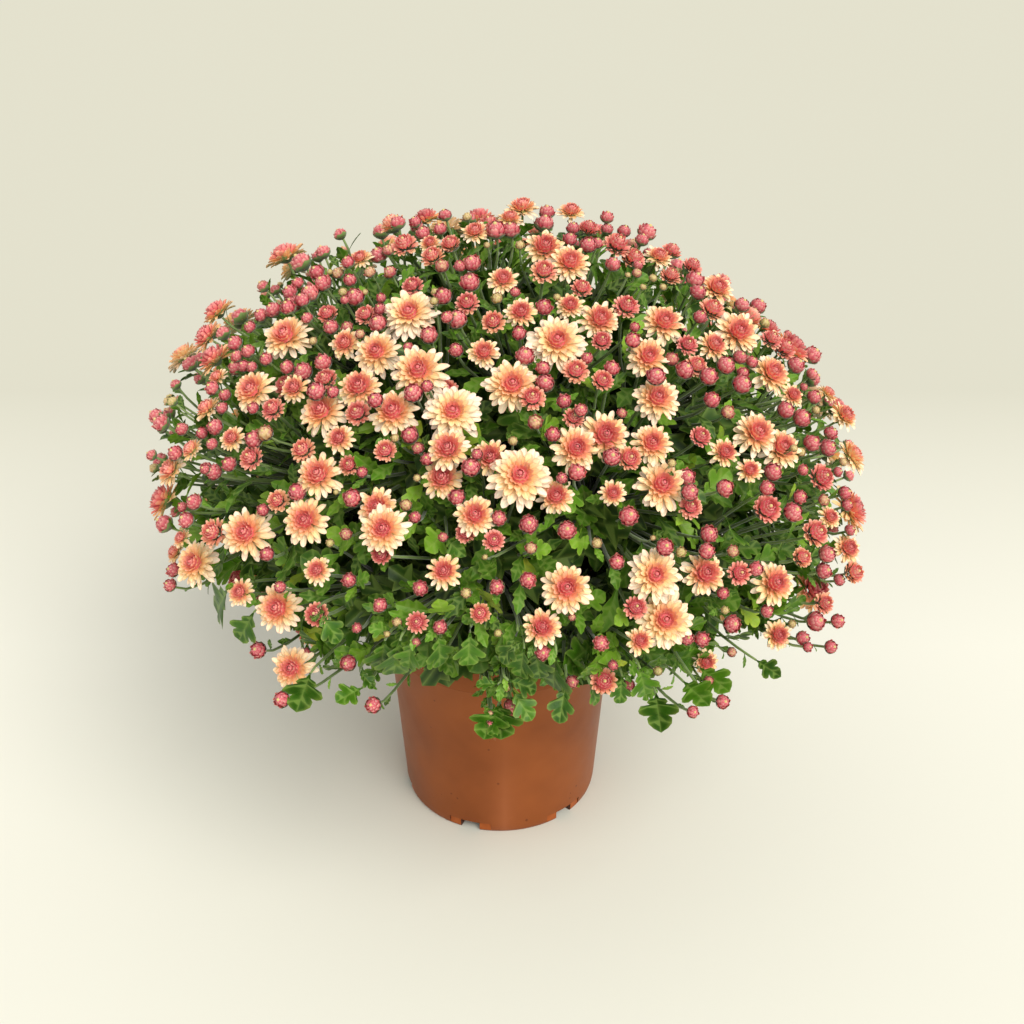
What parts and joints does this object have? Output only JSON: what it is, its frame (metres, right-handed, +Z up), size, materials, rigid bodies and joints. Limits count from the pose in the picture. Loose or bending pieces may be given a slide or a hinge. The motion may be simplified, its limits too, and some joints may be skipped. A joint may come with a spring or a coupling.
{
  "type": "pot chrysanthemum",
  "caption": "Pot chrysanthemum: a broad dome of leafy stems covered in cream, apricot and coral double blooms and buds, standing in soil in a plain terracotta-coloured nursery pot.",
  "frame": {"origin": "on the surface under the pot, on the pot's axis", "axes": "+Z up along the pot's axis, -Y towards the side that the picture shows, +X to that side's right"},
  "size_m": [0.5905, 0.5472, 0.527],
  "materials": {
    "pot": "satin moulded plastic, terracotta brown, with fine scuffs and a few lime marks",
    "soil": "dark moist peat with coarse crumbs",
    "foliage": "matt green leaves, paler at the edges, on downy grey-green stems",
    "open_petals": "soft matt petals, cream outside, apricot further in and coral at the centre",
    "young_petals": "soft matt petals of buds and half-open flowers, coral to crimson"
  },
  "bodies": {
    "root": {"pot": "pot", "soil": "soil", "spray_01": "foliage", "spray_02": "foliage", "spray_03": "foliage", "spray_04": "foliage", "spray_05": "foliage", "spray_06": "foliage", "spray_07": "foliage", "spray_08": "foliage", "spray_09": "foliage", "spray_10": "foliage", "spray_11": "foliage", "spray_12": "foliage", "spray_13": "foliage", "spray_14": "foliage", "spray_15": "foliage", "spray_16": "foliage", "spray_17": "foliage", "spray_18": "foliage", "spray_19": "foliage", "spray_20": "foliage", "spray_21": "foliage", "spray_22": "foliage", "spray_23": "foliage", "spray_24": "foliage", "spray_25": "foliage", "spray_26": "foliage", "spray_27": "foliage", "spray_28": "foliage", "spray_29": "foliage", "spray_30": "foliage"}
  },
  "joints": []
}
